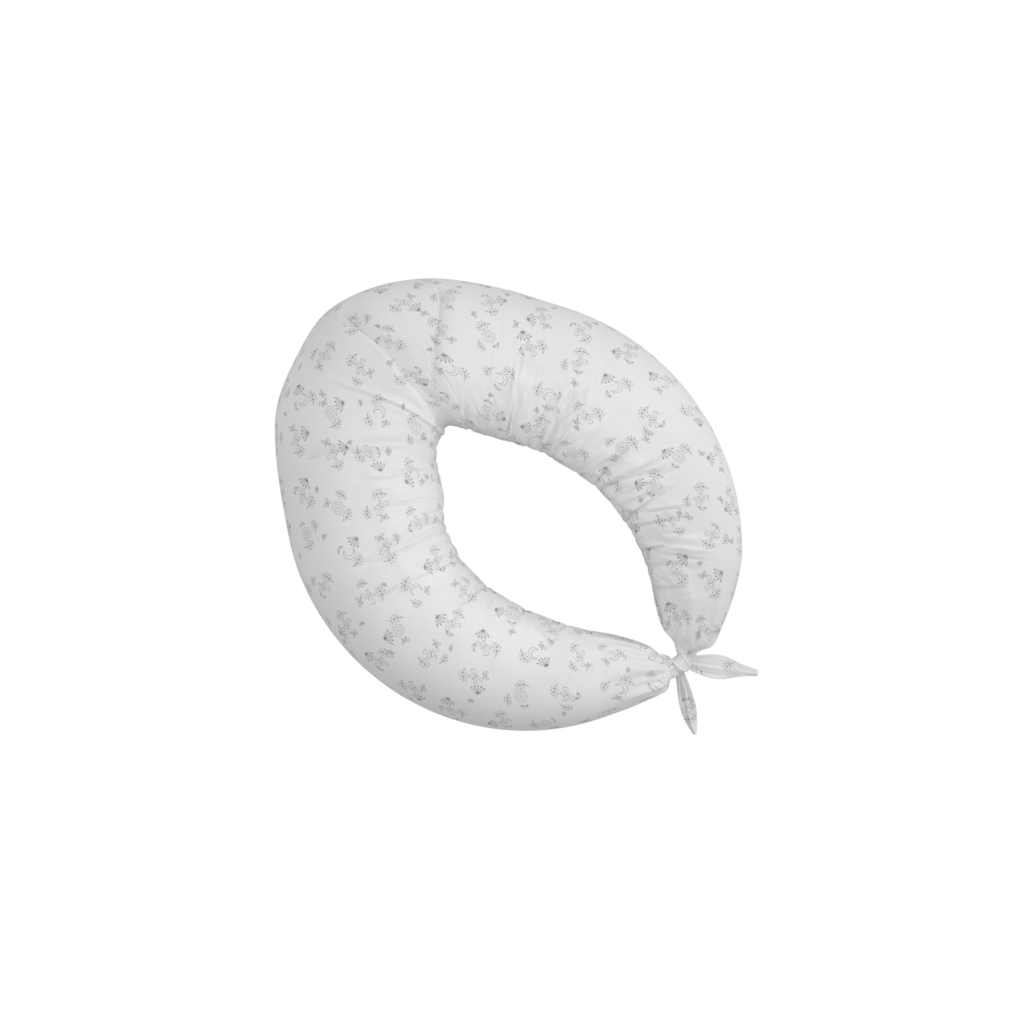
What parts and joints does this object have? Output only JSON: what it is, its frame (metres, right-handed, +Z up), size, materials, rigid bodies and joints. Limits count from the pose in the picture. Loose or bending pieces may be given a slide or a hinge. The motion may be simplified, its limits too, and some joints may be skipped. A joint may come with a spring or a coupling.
{
  "type": "nursing pillow",
  "caption": "Long stuffed nursing pillow in a printed cotton cover, its two tie ends knotted so that it lies as a closed ring.",
  "frame": {"origin": "middle of the footprint, on the surface that the pillow lies on", "axes": "+Z up; +Y from the knot towards the bend, along the ring's long way; +X towards the arm on the right when seen from above with the bend at the top"},
  "size_m": [0.5725, 0.7592, 0.196],
  "materials": {
    "printed_cotton": "matte",
    "casing_cotton": "matte",
    "fibre_fill": "matte",
    "zip_tape": "matte",
    "zip_coil": "satin",
    "zip_metal": "satin"
  },
  "bodies": {
    "left_arm": {"cover_upper_left": "printed_cotton", "cover_lower_left": "printed_cotton", "casing_upper_left": "casing_cotton", "casing_lower_left": "casing_cotton", "filling_left": "fibre_fill", "zip_tape_upper": "zip_tape", "zip_tape_lower": "zip_tape", "zip_coil_upper": "zip_coil", "zip_coil_lower": "zip_coil", "zip_top_stop": "zip_metal", "zip_bottom_stop": "zip_metal", "knot_core": "printed_cotton", "knot_band": "printed_cotton"},
    "right_arm": {"cover_upper_right": "printed_cotton", "cover_lower_right": "printed_cotton", "casing_upper_right": "casing_cotton", "casing_lower_right": "casing_cotton", "filling_right": "fibre_fill"},
    "zip_slider": {"zip_slider": "zip_metal"},
    "zip_pull": {"zip_pull": "zip_metal"},
    "tail_right": {"tie_tail_right": "printed_cotton"},
    "tail_down": {"tie_tail_down": "printed_cotton"}
  },
  "joints": [
    {"name": "ring_fold", "type": "hinge", "parent": "left_arm", "child": "right_arm", "pos_m": [0.012, -0.2965, 0.048], "axis": [-0.0221, -0.9644, -0.2637], "range_deg": [0, 35]},
    {"name": "zip_travel", "type": "hinge", "parent": "left_arm", "child": "zip_slider", "pos_m": [0.049, 0.0185, 0.045], "axis": [0, 0, 1], "range_deg": [0, 44]},
    {"name": "zip_pull_flip", "type": "hinge", "parent": "zip_slider", "child": "zip_pull", "pos_m": [-0.28279, 0.05689, 0.045], "axis": [0, 0, -1], "range_deg": [0, 170]},
    {"name": "tail_right_lift", "type": "hinge", "parent": "left_arm", "child": "tail_right", "pos_m": [0.025, -0.306, 0.04], "axis": [-0.8258, -0.564, 0], "range_deg": [0, 60]},
    {"name": "tail_down_lift", "type": "hinge", "parent": "left_arm", "child": "tail_down", "pos_m": [-0.003, -0.306, 0.04], "axis": [-0.8358, 0.5491, 0], "range_deg": [0, 60]}
  ]
}
